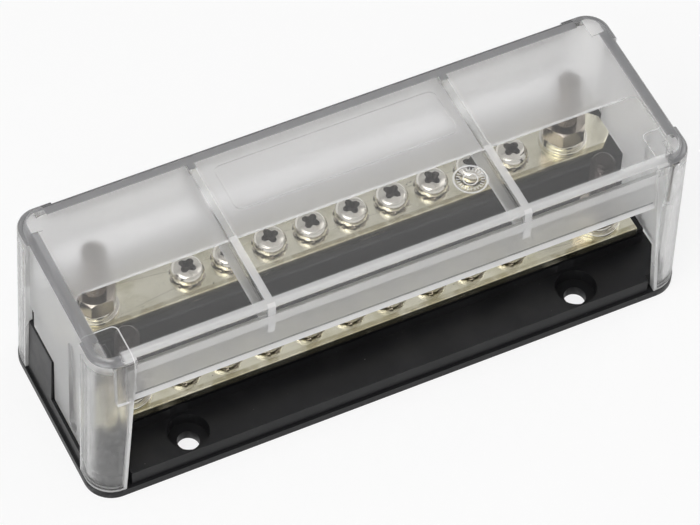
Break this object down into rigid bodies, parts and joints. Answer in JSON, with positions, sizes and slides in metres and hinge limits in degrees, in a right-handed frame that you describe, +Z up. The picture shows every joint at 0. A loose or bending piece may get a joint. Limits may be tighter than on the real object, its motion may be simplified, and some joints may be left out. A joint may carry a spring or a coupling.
{
  "type": "bus bar",
  "caption": "Two-tier bus bar: stepped moulded base, two plated bars with stud and screw terminals, and a translucent lift-off cover with wire windows.",
  "frame": {"origin": "middle of the footprint, on the mounting surface", "axes": "+X along the bars, +Y towards the tall rear tier, +Z up"},
  "size_m": [0.158, 0.0524, 0.052],
  "materials": {
    "base_moulding": "satin",
    "cover_moulding": "frosted",
    "bar_plating": "satin",
    "fastener_plating": "bright"
  },
  "bodies": {
    "base": {"base": "base_moulding", "upper_bar": "bar_plating", "lower_bar": "bar_plating", "upper_left_stud": "fastener_plating", "upper_left_flat_washer": "fastener_plating", "upper_left_spring_washer": "fastener_plating", "upper_left_nut": "fastener_plating", "upper_right_stud": "fastener_plating", "upper_right_flat_washer": "fastener_plating", "upper_right_spring_washer": "fastener_plating", "upper_right_nut": "fastener_plating", "upper_screws": "fastener_plating", "upper_star_washers": "fastener_plating", "lower_left_stud": "fastener_plating", "lower_left_flat_washer": "fastener_plating", "lower_left_spring_washer": "fastener_plating", "lower_left_nut": "fastener_plating", "lower_right_stud": "fastener_plating", "lower_right_flat_washer": "fastener_plating", "lower_right_spring_washer": "fastener_plating", "lower_right_nut": "fastener_plating", "lower_screws": "fastener_plating", "lower_star_washers": "fastener_plating"},
    "cover": {"cover": "cover_moulding"}
  },
  "joints": [
    {"name": "cover_lift", "type": "slide", "parent": "base", "child": "cover", "axis": [0, 0, 1], "range_m": [0, 0.06]}
  ]
}
